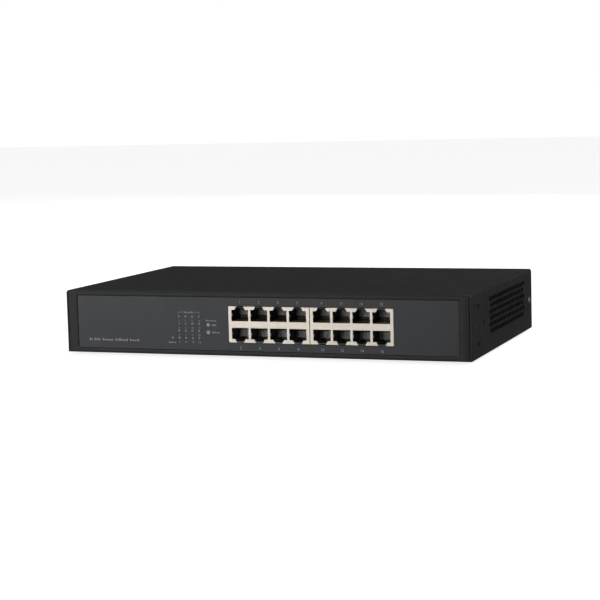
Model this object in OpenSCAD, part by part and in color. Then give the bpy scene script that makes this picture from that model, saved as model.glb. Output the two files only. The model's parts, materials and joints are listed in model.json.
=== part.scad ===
// Desktop network switch in a folded steel case: sixteen shielded sockets, status lights,
// side vents, holes for rack ears, a mains inlet, and the boards and power supply inside.
// Origin: centre of the footprint, on the surface that the feet stand on.
// The sockets face -Y, +X is to the right of someone facing them, and +Z is up.

/* [Case] */
// Width of the case
case_w = 294; // [290:1:300]
// Depth of the case, front panel to rear panel
case_d = 180; // [176:1:190]
// Height of the case without its feet
case_h = 44; // [44:0.5:46]
// Thickness of the steel sheet
sheet = 1; // [0.8:0.1:1.2]
// Outer radius of the cover's two long bends
bend_r = 2; // [1.5:0.1:3]
// Width of the seam between the cover and the tray
seam = 0.35; // [0.1:0.05:0.4]
// Height of the tray's low side flanges
flange_h = 6; // [5:0.5:7]

/* [Front panel] */
// Width of the frame left and right of the recessed panel
frame_side = 8.2; // [7:0.1:10]
// Height of the frame below the recessed panel
frame_low = 3.2; // [3:0.1:5]
// Height of the frame above the recessed panel
frame_top = 3.6; // [3:0.1:5]
// Depth that the panel is pressed back
press_depth = 0.9; // [0.6:0.1:1.2]
// Thickness of the printed label in the recess
label_t = 0.35; // [0.2:0.05:0.5]
// Width of the groove round the label
label_gap = 0.2; // [0.1:0.1:0.8]

/* [Sockets] */
// Number of socket columns in one block
columns = 4; // [4:1:4]
// Distance between neighbouring sockets
socket_pitch = 13.97; // [13.9:0.01:14.1]
// Distance between the centres of the two blocks
block_pitch = 59.1; // [58.6:0.1:60]
// Width of one shielded block
block_w = 58.7; // [58:0.1:59]
// Height of one shielded block
block_h = 24.9; // [24.5:0.1:25.5]
// Depth of one shielded block
block_d = 25.5; // [24:0.5:33]
// Place of the line between the two blocks, from the case's centre
split_x = 35.2; // [30:0.1:40]
// Height of the blocks' underside above the case's underside
block_z = 9.25; // [9:0.05:10]
// Width of a socket's opening in the shield
socket_w = 12.2; // [11.8:0.1:12.4]
// Height of a socket's opening, without the latch notch
socket_h = 7.65; // [7.3:0.05:7.7]
// Height of the bar between the upper and the lower sockets
bar_h = 4.7; // [4.6:0.1:5]
// Depth of a socket
socket_d = 14.5; // [13:0.5:16]
// Width of the latch notch, where it leaves the opening
notch_w = 6.8; // [6.4:0.1:7]
// Thickness of the shield
shield_t = 0.3; // [0.2:0.05:0.4]

/* [Status lights] */
// Distance between neighbouring lights
light_pitch = 5; // [4.5:0.1:5.2]
// Place of the first column of lights, from the case's centre
light_x = -60.9; // [-64:0.1:-58]
// Height of the lowest row of lights above the case's underside
light_z = 11.4; // [11:0.1:12]
// Diameter of a light guide
light_d = 2.2; // [1.8:0.1:2.6]

/* [Vents] */
// Diameter of a vent hole
vent_d = 4; // [3.2:0.1:4.2]
// Distance between neighbouring vent holes
vent_pitch = 5.1; // [4.8:0.1:5.2]
// Number of holes in a long row
vent_count = 21; // [10:1:21]
// Number of rows
vent_rows = 6; // [2:2:6]
// Distance from the front of the case to the first hole
vent_y = 50.9; // [48:0.1:55]
// Height of the lowest row above the case's underside
vent_z = 13.7; // [13:0.1:14]

/* [Rack-ear holes] */
// Diameter of a rack-ear hole
ear_d = 3.3; // [3.2:0.1:3.6]
// Vertical distance between the pair of holes
ear_gap = 25.4; // [25:0.1:26]
// Distance from the front of the case to the pair
ear_y = 19.2; // [18:0.1:20]
// Distance from the front of the case to the third hole
ear_third_y = 33.6; // [30:0.1:36]
// Height of the pattern's middle above the case's underside
ear_z = 21.8; // [21:0.1:22.5]

/* [Mains inlet] */
// Place of the inlet, from the case's centre
inlet_x = -112; // [-114:1:-108]
// Width of the space that the mains connector enters
inlet_w = 24.4; // [24.2:0.1:24.8]
// Height of the space that the mains connector enters
inlet_h = 16.6; // [16.4:0.1:17]
// Depth of the space that the mains connector enters
inlet_depth = 16; // [15:0.5:17]
// Thickness of the inlet's flange, outside the rear panel
inlet_flange = 2; // [1.8:0.1:3]

/* [Feet and screws] */
// Height of a rubber foot
foot_h = 2; // [1.5:0.1:2]
// Diameter of a rubber foot
foot_d = 12; // [10:0.5:14]
// Distance from the case's edges to a foot's centre
foot_inset = 26; // [26:1:30]
// Diameter of a cover screw's head
screw_head_d = 5.6; // [5.4:0.1:6]
// Height of a cover screw's head
screw_head_h = 1; // [0.8:0.1:1.6]
// Distance from the front of the case to the cover screws
screw_y = 170; // [168:0.1:172]
// Height of the cover screws above the case's underside
screw_z = 21.2; // [20:0.1:24]

/* [Boards] */
// Thickness of the circuit boards
board_t = 1.6; // [1.2:0.1:2]
// Width of the main board
board_w = 206; // [200:1:206]
// Depth of the main board
board_d = 122; // [116:1:126]
// Width of the power board
supply_w = 54; // [52:1:54]
// Depth of the power board
supply_d = 98; // [98:1:100]

/* [Hidden] */
$fn = 48;
cut = 0.01;

front_y = -(case_d + inlet_flange) / 2;
rear_y = front_y + case_d;
case_z = foot_h;
top_z = case_z + case_h;
inner_x = case_w / 2 - sheet - seam;
floor_z = case_z + sheet;

panel_w = case_w - 2 * frame_side;
panel_h = case_h - frame_low - frame_top;
panel_z = case_z + frame_low;
label_y = front_y + press_depth - label_t;

block_x = [split_x - block_pitch / 2, split_x + block_pitch / 2];
jack_z = case_z + block_z;
jack_mid_z = jack_z + block_h / 2;
shield_y = front_y + 0.2;
housing_y = shield_y + shield_t;
edge_h = block_h / 2 - bar_h / 2 - socket_h;
fit_gap = 0.05;
cavity_w = socket_w - 0.3;
contact_count = 8;
contact_pitch = 1.02;
contact_w = 0.4;

board_z = jack_z - 0.3 - board_t;
board_top = board_z + board_t;
board_x = -70;
board_y = front_y + 2.4;
standoff_h = board_z - floor_z;
supply_x = -140;
supply_y = front_y + 46;
hole_inset = 5;

light_rows = 4;
light_cols = 4;
light_low_z = case_z + light_z;
light_places = concat(
    [for (row = [0:light_rows - 1], col = [0:light_cols - 1]) [col, row]],
    [[-1, 0]]);

chip_x = 35;
chip_y = front_y + 84;
chip_w = 24;

// ---- helpers ----

// A box given by its low and its high corner.
module block(low, high) {
    translate(low)
        cube(high - low);
}

// Runs a flat outline drawn in X and Z along Y, from y0 to y1.
module along_y(y0, y1) {
    translate([0, y1, 0])
        rotate([90, 0, 0])
            linear_extrude(y1 - y0)
                children();
}

// Runs a flat outline drawn in Y and Z along X, from x0 to x1.
module along_x(x0, x1) {
    translate([x0, 0, 0])
        rotate([90, 0, 90])
            linear_extrude(x1 - x0)
                children();
}

// A round bar along X.
module bar_x(x0, x1, y, z, d) {
    translate([x0, y, z])
        rotate([0, 90, 0])
            cylinder(d = d, h = x1 - x0);
}

// A round bar along Y.
module bar_y(x, y0, y1, z, d) {
    translate([x, y1, z])
        rotate([90, 0, 0])
            cylinder(d = d, h = y1 - y0);
}

// An arch outline with two round upper corners, standing on z0.
module arch(w, z0, z1, r) {
    translate([-w / 2, z0])
        square([w, z1 - z0 - r]);
    translate([-w / 2 + r, z0])
        square([w - 2 * r, z1 - z0]);
    for (side = [-1, 1])
        translate([side * (w / 2 - r), z1 - r])
            circle(r);
}

// A pan-head screw with a cross recess: its head stands on z = 0 and points along +Z.
module pan_screw(head_d, head_h, shank_d, shank_l) {
    slot_w = head_d * 0.16;
    slot_l = head_d * 0.55;
    difference() {
        union() {
            cylinder(d = head_d, h = head_h * 0.6);
            translate([0, 0, head_h * 0.6])
                cylinder(d1 = head_d, d2 = head_d * 0.7, h = head_h * 0.4);
        }
        for (turn = [0, 90])
            rotate([0, 0, turn])
                translate([-slot_l / 2, -slot_w / 2, head_h * 0.35])
                    cube([slot_l, slot_w, head_h]);
    }
    translate([0, 0, -shank_l])
        cylinder(d = shank_d, h = shank_l);
}

// Points of a smooth route through the given places.
function blend_at(a, b, c, d, t) =
    0.5 * ((2 * b) + (c - a) * t + (2 * a - 5 * b + 4 * c - d) * t * t
        + (3 * b - a - 3 * c + d) * t * t * t);
function route(p, steps) = [for (i = [0:len(p) - 2], s = [0:steps - 1])
    blend_at(p[max(i - 1, 0)], p[i], p[i + 1], p[min(i + 2, len(p) - 1)], s / steps),
    p[len(p) - 1]];
function unit(v) = v / norm(v);

// Sideways direction at each place of a path, carried along so that a tube never twists.
function carry_side(heading) = [for (i = 0, side = first_side(heading[0]); i < len(heading);
    i = i + 1, side = i < len(heading)
        ? unit(side - (side * heading[i]) * heading[i]) : side) side];
function first_side(h) = unit(cross(h, abs(h[2]) < 0.7 ? [0, 0, 1] : [1, 0, 0]));

// A round wire along a route.
module wire(places, d) {
    sides = 8;
    path = route(places, 4);
    last = len(path) - 1;
    heading = [for (i = [0:last]) unit(path[min(i + 1, last)] - path[max(i - 1, 0)])];
    side = carry_side(heading);
    points = [for (i = [0:last], k = [0:sides - 1])
        path[i] + d / 2 * (cos(360 * k / sides) * side[i]
            + sin(360 * k / sides) * cross(side[i], heading[i]))];
    skin = [for (i = [0:last - 1], k = [0:sides - 1])
        let (n = (k + 1) % sides)
        [i * sides + k, i * sides + n, (i + 1) * sides + n, (i + 1) * sides + k]];
    first_end = [for (k = [0:sides - 1]) sides - 1 - k];
    last_end = [for (k = [0:sides - 1]) last * sides + k];
    polyhedron(points, concat([first_end], skin, [last_end]));
}

// ---- steel case ----

// Window in the front panel and label that the two socket blocks stand in.
module socket_window(gap) {
    translate([split_x - block_pitch - gap, jack_z - gap])
        square([2 * block_pitch + 2 * gap, block_h + 2 * gap]);
}

// The grid of holes that the light guides pass through.
module light_holes(d) {
    for (place = light_places)
        translate([light_x + place[0] * light_pitch, light_low_z + place[1] * light_pitch])
            circle(d = d);
}

module front_wall() {
    // flat frame
    along_y(front_y, front_y + sheet)
        difference() {
            translate([-inner_x, case_z])
                square([2 * inner_x, case_h - sheet - seam]);
            translate([-panel_w / 2, panel_z])
                square([panel_w, panel_h]);
        }
    // panel pressed back
    along_y(front_y + press_depth, front_y + press_depth + sheet)
        difference() {
            translate([-panel_w / 2 - sheet, panel_z - sheet])
                square([panel_w + 2 * sheet, panel_h + 2 * sheet]);
            socket_window(0.3);
            light_holes(light_d + 0.4);
        }
    // flange under the cover
    block([-inner_x, front_y, top_z - 2 * sheet - seam],
        [inner_x, front_y + 7, top_z - sheet - seam]);
}

module rear_wall() {
    wall_top = top_z - sheet - seam;
    along_y(rear_y - sheet, rear_y)
        difference() {
            translate([-inner_x, case_z])
                square([2 * inner_x, wall_top - case_z]);
            translate([inlet_x - 14.2, inlet_z - 10.2])
                square([28.4, 20.4]);
            for (side = [-1, 1])
                translate([inlet_x + side * 20, inlet_z])
                    circle(d = 3.2);
            translate([earth_x, earth_z])
                circle(d = 4.2);
        }
    // flange under the cover
    block([-inner_x, rear_y - 9, wall_top - sheet], [inner_x, rear_y, wall_top]);
    // tabs that the cover screws bite into
    for (side = [-1, 1])
        difference() {
            block([side > 0 ? inner_x - sheet : -inner_x, rear_y - 18, case_z + 12],
                [side > 0 ? inner_x : -inner_x + sheet, rear_y - sheet / 2, case_z + 32]);
            bar_x(side * inner_x - 2 * sheet, side * inner_x + 2 * sheet,
                front_y + screw_y, case_z + screw_z, 2.9);
        }
}

inlet_z = case_z + case_h / 2;
earth_x = inlet_x + 42;
earth_z = case_z + 14;

module base_tray() {
    color("#3a3a3b") {
        block([-inner_x, front_y, case_z], [inner_x, rear_y, floor_z]);
        for (side = [-1, 1])
            block([side > 0 ? inner_x - sheet : -inner_x, front_y, case_z],
                [side > 0 ? inner_x : -inner_x + sheet, rear_y, case_z + flange_h]);
        front_wall();
        rear_wall();
    }
}

module vent_holes() {
    row_step = vent_pitch * sin(60);
    for (row = [0:vent_rows - 1], i = [0:vent_count - 1 - row_is_short(row)])
        bar_x(-case_w, case_w,
            front_y + vent_y + (i + row_is_short(row) / 2) * vent_pitch,
            case_z + vent_z + row * row_step, vent_d);
}
// The rows alternate between long and short, counted from the highest row.
function row_is_short(row) = (vent_rows - 1 - row) % 2;

module ear_holes() {
    for (z = [-ear_gap / 2, ear_gap / 2])
        bar_x(-case_w, case_w, front_y + ear_y, case_z + ear_z + z, ear_d);
    bar_x(-case_w, case_w, front_y + ear_third_y, case_z + ear_z, ear_d);
    // locating dimple between the pair
    dimple = 0.4;
    for (side = [-1, 1])
        bar_x(side * case_w / 2 - dimple, side * case_w / 2 + dimple,
            front_y + ear_y + 2, case_z + ear_z - 0.8, 2.4);
}

// A tongue under the cover's front edge that hooks behind the front panel's flange.
module cover_tongue(x) {
    tongue_w = 14;
    hook_z = top_z - 3 * sheet - 2 * seam;
    block([x - tongue_w / 2, front_y + 3, hook_z], [x + tongue_w / 2, front_y + 14, hook_z + sheet]);
    block([x - tongue_w / 2, front_y + 13, hook_z],
        [x + tongue_w / 2, front_y + 14, top_z - sheet / 2]);
}

module top_cover() {
    color("#2b2d2c") {
        difference() {
            along_y(front_y, rear_y)
                difference() {
                    arch(case_w, case_z, top_z, bend_r);
                    arch(case_w - 2 * sheet, case_z - 1, top_z - sheet, bend_r - sheet);
                }
            vent_holes();
            ear_holes();
            bar_x(-case_w, case_w, front_y + screw_y, case_z + screw_z, 3.2);
        }
        for (x = [-90, 0, 90])
            cover_tongue(x);
    }
}

module front_label() {
    color("#48484c")
        along_y(label_y, label_y + label_t)
            difference() {
                translate([-panel_w / 2 + label_gap, panel_z + label_gap])
                    square([panel_w - 2 * label_gap, panel_h - 2 * label_gap]);
                socket_window(0.2);
                light_holes(light_d + 0.2);
            }
}

// ---- status lights ----

// Depth at which a row's light guide turns down to its light.
function turn_y(row) = front_y + 7 + 4 * row;
guide_foot_z = board_top + 1.1;

module light_guide() {
    color("#c8ccd0") {
        for (place = light_places) {
            x = light_x + place[0] * light_pitch;
            z = light_low_z + place[1] * light_pitch;
            bar_y(x, label_y, turn_y(place[1]), z, light_d);
            translate([x, turn_y(place[1]), guide_foot_z])
                cylinder(d = light_d, h = z - guide_foot_z);
            translate([x, turn_y(place[1]), z])
                sphere(d = light_d);
        }
        // carrier plate that joins the guides
        block([light_x - light_pitch - 2, front_y + 3.5, light_low_z - 2],
            [light_x + light_cols * light_pitch, front_y + 5, light_low_z + 3.6 * light_pitch]);
    }
}

module status_leds() {
    color("#f0efe4")
        for (place = light_places)
            translate([light_x + place[0] * light_pitch, turn_y(place[1]), board_top + 0.4])
                cube([1.6, 1.2, 0.8], center = true);
}

// ---- sockets ----

// Places of a block's socket columns, from the block's centre.
function column_x(i) = (i - (columns - 1) / 2) * socket_pitch;

// Outline of one socket, with its latch notch away from the bar: up = 1 or -1.
module socket_outline(w, h, latch_w, latch_h, up) {
    base = bar_h / 2 + (socket_h - h) / 2;
    fillet = 0.6;
    taper = 1.1;
    half = [[w / 2, 0], [w / 2, h], [latch_w / 2 + fillet, h], [latch_w / 2, h + fillet],
        [latch_w / 2, h + 1], [latch_w / 2 - taper, h + latch_h]];
    mirror([0, up > 0 ? 0 : 1])
        translate([0, base])
            polygon(concat(half,
                [for (i = [len(half) - 1:-1:0]) [-half[i][0], half[i][1]]]));
}

module every_socket(x) {
    for (i = [0:columns - 1], up = [-1, 1])
        translate([x + column_x(i), jack_mid_z])
            children(up > 0 ? 1 : 0);
}

module jack_shield(x) {
    inner_w = block_w - 2 * shield_t;
    fold_relief = 4;
    color("#d8d0c6")
        difference() {
            block([x - block_w / 2, shield_y, jack_z],
                [x + block_w / 2, shield_y + block_d, jack_z + block_h]);
            // open underneath
            block([x - inner_w / 2, shield_y + shield_t, jack_z - 1],
                [x + inner_w / 2, shield_y + block_d - shield_t, jack_z + block_h - shield_t]);
            // the latch notches run out through the edges
            along_y(shield_y - 1, shield_y + fold_relief)
                every_socket(x) {
                    socket_outline(socket_w, socket_h, notch_w, edge_h + 0.2, -1);
                    socket_outline(socket_w, socket_h, notch_w, edge_h + 0.2, 1);
                }
        }
}

module jack_housing(x) {
    w = block_w - 2 * shield_t - 2 * fit_gap;
    color("#1b1b1c")
        difference() {
            block([x - w / 2, housing_y, board_top],
                [x + w / 2, shield_y + block_d - shield_t - fit_gap,
                    jack_z + block_h - shield_t - fit_gap]);
            along_y(housing_y - 1, housing_y + socket_d)
                every_socket(x) {
                    socket_outline(cavity_w, socket_h - 0.2, notch_w - 0.4, edge_h - 0.8, -1);
                    socket_outline(cavity_w, socket_h - 0.2, notch_w - 0.4, edge_h - 0.8, 1);
                }
        }
}

// One contact: a spring leaf that lies on the socket's floor and folds back up into it.
module contact_leaf() {
    polygon([[13.5, 0], [2.7, 0], [2.3, 0.45], [2.6, 0.9], [10.5, 2.3],
        [10.6, 2.05], [2.95, 0.65], [2.75, 0.45], [2.9, 0.25], [13.5, 0.25]]);
}

module jack_contacts(x) {
    floor_gap = bar_h / 2 + 0.1;
    color("#c9a44a")
        for (i = [0:columns - 1], up = [-1, 1], k = [0:contact_count - 1]) {
            at = x + column_x(i) + (k - (contact_count - 1) / 2) * contact_pitch;
            translate([0, housing_y, jack_mid_z])
                mirror([0, 0, up > 0 ? 0 : 1])
                    translate([0, 0, floor_gap])
                        along_x(at - contact_w / 2, at + contact_w / 2)
                            contact_leaf();
        }
}

module jack_shield_left() {
    jack_shield(block_x[0]);
}
module jack_shield_right() {
    jack_shield(block_x[1]);
}
module jack_housing_left() {
    jack_housing(block_x[0]);
}
module jack_housing_right() {
    jack_housing(block_x[1]);
}
module jack_contacts_left() {
    jack_contacts(block_x[0]);
}
module jack_contacts_right() {
    jack_contacts(block_x[1]);
}

// ---- main board ----

main_holes = [for (x = [hole_inset, board_w / 2, board_w - hole_inset],
    y = [32, board_d - hole_inset]) [board_x + x, board_y + y]];
supply_holes = [for (x = [hole_inset, supply_w - hole_inset],
    y = [hole_inset, supply_d - hole_inset]) [supply_x + x, supply_y + y]];

module board(x, y, w, d, holes, paint) {
    color(paint)
        difference() {
            block([x, y, board_z], [x + w, y + d, board_top]);
            for (hole = holes)
                translate([hole[0], hole[1], board_z - 1])
                    cylinder(d = 3.2, h = board_t + 2);
        }
}

module main_board() {
    board(board_x, board_y, board_w, board_d, main_holes, "#1f5a3a");
}

// A part that stands on the boards, by its centre, width, depth and height.
module on_board(x, y, size) {
    translate([x - size[0] / 2, y - size[1] / 2, board_top])
        cube(size);
}

module switch_chip() {
    color("#222222")
        on_board(chip_x, chip_y, [chip_w, chip_w, 1.6]);
}

module chip_heatsink() {
    base_z = board_top + 1.6;
    fin_count = 8;
    fin_t = 1.2;
    sink_w = 28;
    fin_step = (sink_w - fin_t) / (fin_count - 1);
    color("#8f9396") {
        block([chip_x - sink_w / 2, chip_y - sink_w / 2, base_z],
            [chip_x + sink_w / 2, chip_y + sink_w / 2, base_z + 2]);
        for (i = [0:fin_count - 1])
            block([chip_x - sink_w / 2 + i * fin_step, chip_y - sink_w / 2, base_z + 1],
                [chip_x - sink_w / 2 + i * fin_step + fin_t, chip_y + sink_w / 2, base_z + 10]);
    }
}

module port_transformers() {
    color("#2a2a2a")
        for (b = block_x, i = [0:columns - 1])
            on_board(b + column_x(i), front_y + 41, [11.5, 17, 6]);
}

module transceiver_chips() {
    color("#222222")
        for (x = [-12, 86])
            on_board(x, front_y + 70, [14, 14, 1]);
}

module memory_chip() {
    color("#222222")
        on_board(chip_x - 34, chip_y + 12, [5.3, 5.2, 1.8]);
}

module clock_crystal() {
    color("#c9cbcd")
        on_board(chip_x + 24, chip_y + 4, [11, 4.6, 3.6]);
}

module regulator_chips() {
    color("#222222")
        for (x = [-46, -22])
            on_board(x, front_y + 104, [6.5, 6.5, 2.3]);
}

module power_inductors() {
    color("#4a4c4e")
        for (x = [-46, -22])
            on_board(x, front_y + 90, [10, 10, 4.5]);
}

module can_capacitor(x, y, d, h) {
    translate([x, y, board_top])
        difference() {
            cylinder(d = d, h = h);
            translate([0, 0, h - 0.4])
                cylinder(d = d * 0.8, h = 1);
        }
}

module board_capacitors() {
    color("#2f3136")
        for (x = [-56, -34, -10], y = [78, 114])
            can_capacitor(x, front_y + y, 8, 11);
}

module chip_components() {
    color("#b8a888") {
        for (b = block_x, i = [0:2 * columns - 1])
            on_board(b + (i - columns + 0.5) * socket_pitch / 2, front_y + 54, [1.6, 0.8, 0.7]);
        for (turn = [0:30:330])
            on_board(chip_x + 22 * cos(turn), chip_y + 22 * sin(turn), [1.2, 1.2, 0.8]);
    }
}

// ---- mains inlet ----

// Outline of the mains connector's space, with the two corners beside the earth pin cut off.
module inlet_outline(grow) {
    w = inlet_w / 2 + grow;
    h = inlet_h / 2 + grow;
    corner = 4;
    polygon([[-w, -h], [w, -h], [w, h - corner], [w - corner, h],
        [-w + corner, h], [-w, h - corner]]);
}

module power_inlet() {
    wall = 1.6;
    back_y = rear_y + inlet_flange - inlet_depth;
    color("#161617")
        difference() {
            union() {
                along_y(rear_y, rear_y + inlet_flange)
                    translate([inlet_x, inlet_z])
                        difference() {
                            square([50, 22.4], center = true);
                            for (side = [-1, 1])
                                translate([side * 20, 0])
                                    circle(d = 3.2);
                        }
                along_y(back_y - 3, rear_y + cut)
                    translate([inlet_x, inlet_z])
                        inlet_outline(wall - 0.1);
            }
            along_y(back_y, rear_y + inlet_flange + 1)
                translate([inlet_x, inlet_z])
                    inlet_outline(0);
            // countersinks for the two screws
            for (side = [-1, 1])
                translate([inlet_x + side * 20, rear_y + 0.3, inlet_z])
                    rotate([-90, 0, 0])
                        cylinder(d1 = 3.2, d2 = 6.6, h = 1.71);
            for (pin = inlet_pin_places)
                block([inlet_x + pin[0] - 1, back_y - 4, inlet_z + pin[1] - 2],
                    [inlet_x + pin[0] + 1, back_y + 1, inlet_z + pin[1] + 2]);
        }
}

// Pin places seen from the front of the case: two outer pins and the earth pin.
inlet_pin_places = [[-7, -2], [7, -2], [0, 2]];

module inlet_pins() {
    back_y = rear_y + inlet_flange - inlet_depth;
    color("#c4bda6")
        for (pin = inlet_pin_places)
            block([inlet_x + pin[0] - 1, back_y - 11, inlet_z + pin[1] - 2],
                [inlet_x + pin[0] + 1, rear_y + inlet_flange - 3, inlet_z + pin[1] + 2]);
}

module inlet_screws() {
    color("#3a3a3c")
        for (side = [-1, 1])
            translate([inlet_x + side * 20, rear_y + 0.3, inlet_z])
                rotate([-90, 0, 0]) {
                    difference() {
                        cylinder(d1 = 3, d2 = 6.4, h = 1.7);
                        for (turn = [0, 90])
                            rotate([0, 0, turn])
                                translate([-1.6, -0.45, 0.8])
                                    cube([3.2, 0.9, 2]);
                    }
                    translate([0, 0, -6.3])
                        cylinder(d = 3, h = 6.3);
                }
}

// ---- power supply ----

module power_board() {
    board(supply_x, supply_y, supply_w, supply_d, supply_holes, "#7a6a3a");
}

module insulation_sheet() {
    color("#d8dadc")
        difference() {
            block([supply_x - 2, supply_y - 4, floor_z],
                [supply_x + supply_w + 4, supply_y + supply_d + 4, floor_z + 0.3]);
            for (hole = supply_holes)
                translate([hole[0], hole[1], floor_z - 1])
                    cylinder(d = 8, h = 3);
        }
}

module power_transformer() {
    x = supply_x + 30;
    y = supply_y + 38;
    color("#3b3430")
        // ferrite core: two end walls and the legs round the winding
        difference() {
            on_board(x, y, [12, 26, 22]);
            translate([0, 0, 4])
                on_board(x, y, [13, 17, 14]);
        }
    color("#c9a227")
        translate([0, 0, 4])
            on_board(x, y, [22, 17, 14]);
}

module bulk_capacitor() {
    color("#20242c")
        can_capacitor(supply_x + 14, supply_y + 62, 18, 26);
}

module output_capacitors() {
    color("#20242c")
        for (x = [14, 26, 38])
            can_capacitor(supply_x + x, supply_y + 15, 10, 18);
}

module line_choke() {
    color("#3a6b48")
        translate([supply_x + 38, supply_y + 78, board_top])
            rotate_extrude()
                translate([5, 0])
                    square([5, 10]);
}

module line_capacitor() {
    color("#c9a227")
        on_board(supply_x + 17, supply_y + 80, [18, 8, 14]);
}

module bridge_rectifier() {
    color("#222222")
        on_board(supply_x + 38, supply_y + 60, [15, 4, 11]);
}

module power_heatsink() {
    x = supply_x + 48;
    fin_step = 6;
    color("#9a9da0") {
        on_board(x, supply_y + 38, [2, 30, 24]);
        for (i = [0:5])
            on_board(x + 2.4, supply_y + 24 + i * (fin_step - 0.4), [3.8, 1.2, 24]);
    }
}

module power_transistor() {
    color("#222222")
        translate([0, 0, 4])
            on_board(supply_x + 44.7, supply_y + 38, [4.6, 10, 15]);
}

module mains_fuse() {
    y = supply_y + 90;
    z = board_top + 4;
    x = supply_x + 22;
    color("#cfd6d8") {
        bar_x(x, x + 14, y, z, 4.6);
        for (end = [x - 3, x + 12])
            bar_x(end, end + 5, y, z, 5.4);
        for (end = [x - 2, x + 13])
            block([end, y - 2, board_top], [end + 3, y + 2, z]);
    }
}

module mains_header() {
    color("#e8e4da")
        on_board(supply_x + 42, supply_y + 92, [11, 6, 4]);
}

module mains_plug() {
    color("#e8e4da")
        translate([0, 0, 4])
            on_board(supply_x + 42, supply_y + 92, [9, 5.4, 7]);
}

dc_places = [[supply_x + 32, supply_y + 3.5], [board_x + 8, board_y + 74]];

module dc_headers() {
    color("#e8e4da")
        for (place = dc_places)
            on_board(place[0], place[1], [12.5, 5.8, 4]);
}

module dc_plugs() {
    color("#e8e4da")
        translate([0, 0, 4])
            for (place = dc_places)
                on_board(place[0], place[1], [10.5, 5.2, 7]);
}

// ---- internal wires, held at both ends ----

plug_top_z = board_top + 11;

module mains_wires() {
    wire_d = 2.2;
    start_y = rear_y + inlet_flange - inlet_depth - 11;
    plug_x = supply_x + 42;
    plug_y = supply_y + 92;
    color("#8a5a3a")
        for (side = [-1, 1])
            wire([[inlet_x + side * 7, start_y, inlet_z - 2],
                [inlet_x + side * 7, start_y - 5, inlet_z - 1],
                [plug_x + side * 2.5 - 4, plug_y + 7, inlet_z + 6 - side],
                [plug_x + side * 2.5, plug_y, inlet_z + 4],
                [plug_x + side * 2.5, plug_y, plug_top_z]],
                wire_d);
}

module earth_wire() {
    start_y = rear_y + inlet_flange - inlet_depth - 11;
    ring_y = rear_y - sheet;
    ring_t = 0.8;
    color("#7d9a3a") {
        wire([[inlet_x, start_y, inlet_z + 2],
            [inlet_x + 3, start_y - 5, inlet_z + 5],
            [inlet_x + 14, start_y - 6, inlet_z + 9],
            [earth_x - 8, ring_y - 14, inlet_z + 8],
            [earth_x, ring_y - 5, earth_z + 14],
            [earth_x, ring_y - 1.4, earth_z + 7],
            [earth_x, ring_y - 1.4, earth_z + 4.6]],
            2.2);
        // ring terminal on the earth screw
        difference() {
            union() {
                bar_y(earth_x, ring_y - ring_t, ring_y, earth_z, 8);
                block([earth_x - 1.5, ring_y - ring_t, earth_z],
                    [earth_x + 1.5, ring_y, earth_z + 7.5]);
            }
            bar_y(earth_x, ring_y - 3, ring_y + 1, earth_z, 4.2);
        }
    }
}

// Four wires in nested arches, so that none crosses another.
module dc_wires() {
    from = dc_places[0];
    to = dc_places[1];
    color("#a03030")
        for (i = [0:3]) {
            x = (i - 1.5) * 2.5;
            lift = (1.5 - i) * 2.3;
            wire([[from[0] + x, from[1], plug_top_z],
                [from[0] + x, from[1], plug_top_z + 6 + lift],
                [(from[0] + to[0]) / 2, (from[1] + to[1]) / 2, plug_top_z + 12 + lift],
                [to[0] - x, to[1], plug_top_z + 6 + lift],
                [to[0] - x, to[1], plug_top_z]],
                1.6);
        }
}

// ---- fasteners and feet ----

module standoffs() {
    color("#b9bcbf")
        for (hole = concat(main_holes, supply_holes))
            translate([hole[0], hole[1], floor_z])
                difference() {
                    cylinder(d = 6, h = standoff_h, $fn = 6);
                    translate([0, 0, 1])
                        cylinder(d = 2.9, h = standoff_h);
                }
}

module board_screws() {
    color("#c6c8ca")
        for (hole = concat(main_holes, supply_holes))
            translate([hole[0], hole[1], board_top])
                pan_screw(5.6, 2, 2.8, board_t + 4);
}

module cover_screws() {
    color("#d9dadb")
        for (side = [-1, 1])
            translate([side * case_w / 2, front_y + screw_y, case_z + screw_z])
                rotate([0, side * 90, 0])
                    pan_screw(screw_head_d, screw_head_h, 2.8, 5);
}

module earth_screw() {
    color("#c9b06a")
        translate([earth_x, rear_y, earth_z])
            rotate([-90, 0, 0])
                pan_screw(7.5, 1.9, 4, 6);
}

module rubber_feet() {
    color("#1c1c1c")
        for (sx = [-1, 1], y = [front_y + foot_inset, rear_y - foot_inset])
            translate([sx * (case_w / 2 - foot_inset), y, 0])
                cylinder(d1 = foot_d - 1, d2 = foot_d, h = foot_h);
}

base_tray();
top_cover();
front_label();
light_guide();
status_leds();
jack_shield_left();
jack_shield_right();
jack_housing_left();
jack_housing_right();
jack_contacts_left();
jack_contacts_right();
main_board();
switch_chip();
chip_heatsink();
port_transformers();
transceiver_chips();
memory_chip();
clock_crystal();
regulator_chips();
power_inductors();
board_capacitors();
chip_components();
power_inlet();
inlet_pins();
inlet_screws();
power_board();
insulation_sheet();
power_transformer();
bulk_capacitor();
output_capacitors();
line_choke();
line_capacitor();
bridge_rectifier();
power_heatsink();
power_transistor();
mains_fuse();
mains_header();
mains_plug();
dc_headers();
dc_plugs();
mains_wires();
earth_wire();
dc_wires();
standoffs();
board_screws();
cover_screws();
earth_screw();
rubber_feet();
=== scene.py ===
"""Looks of a desktop network switch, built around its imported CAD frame. Metres; sizes named in mm."""

import json
import math
import random

import bmesh
import bpy
from mathutils import Matrix, Vector


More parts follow.
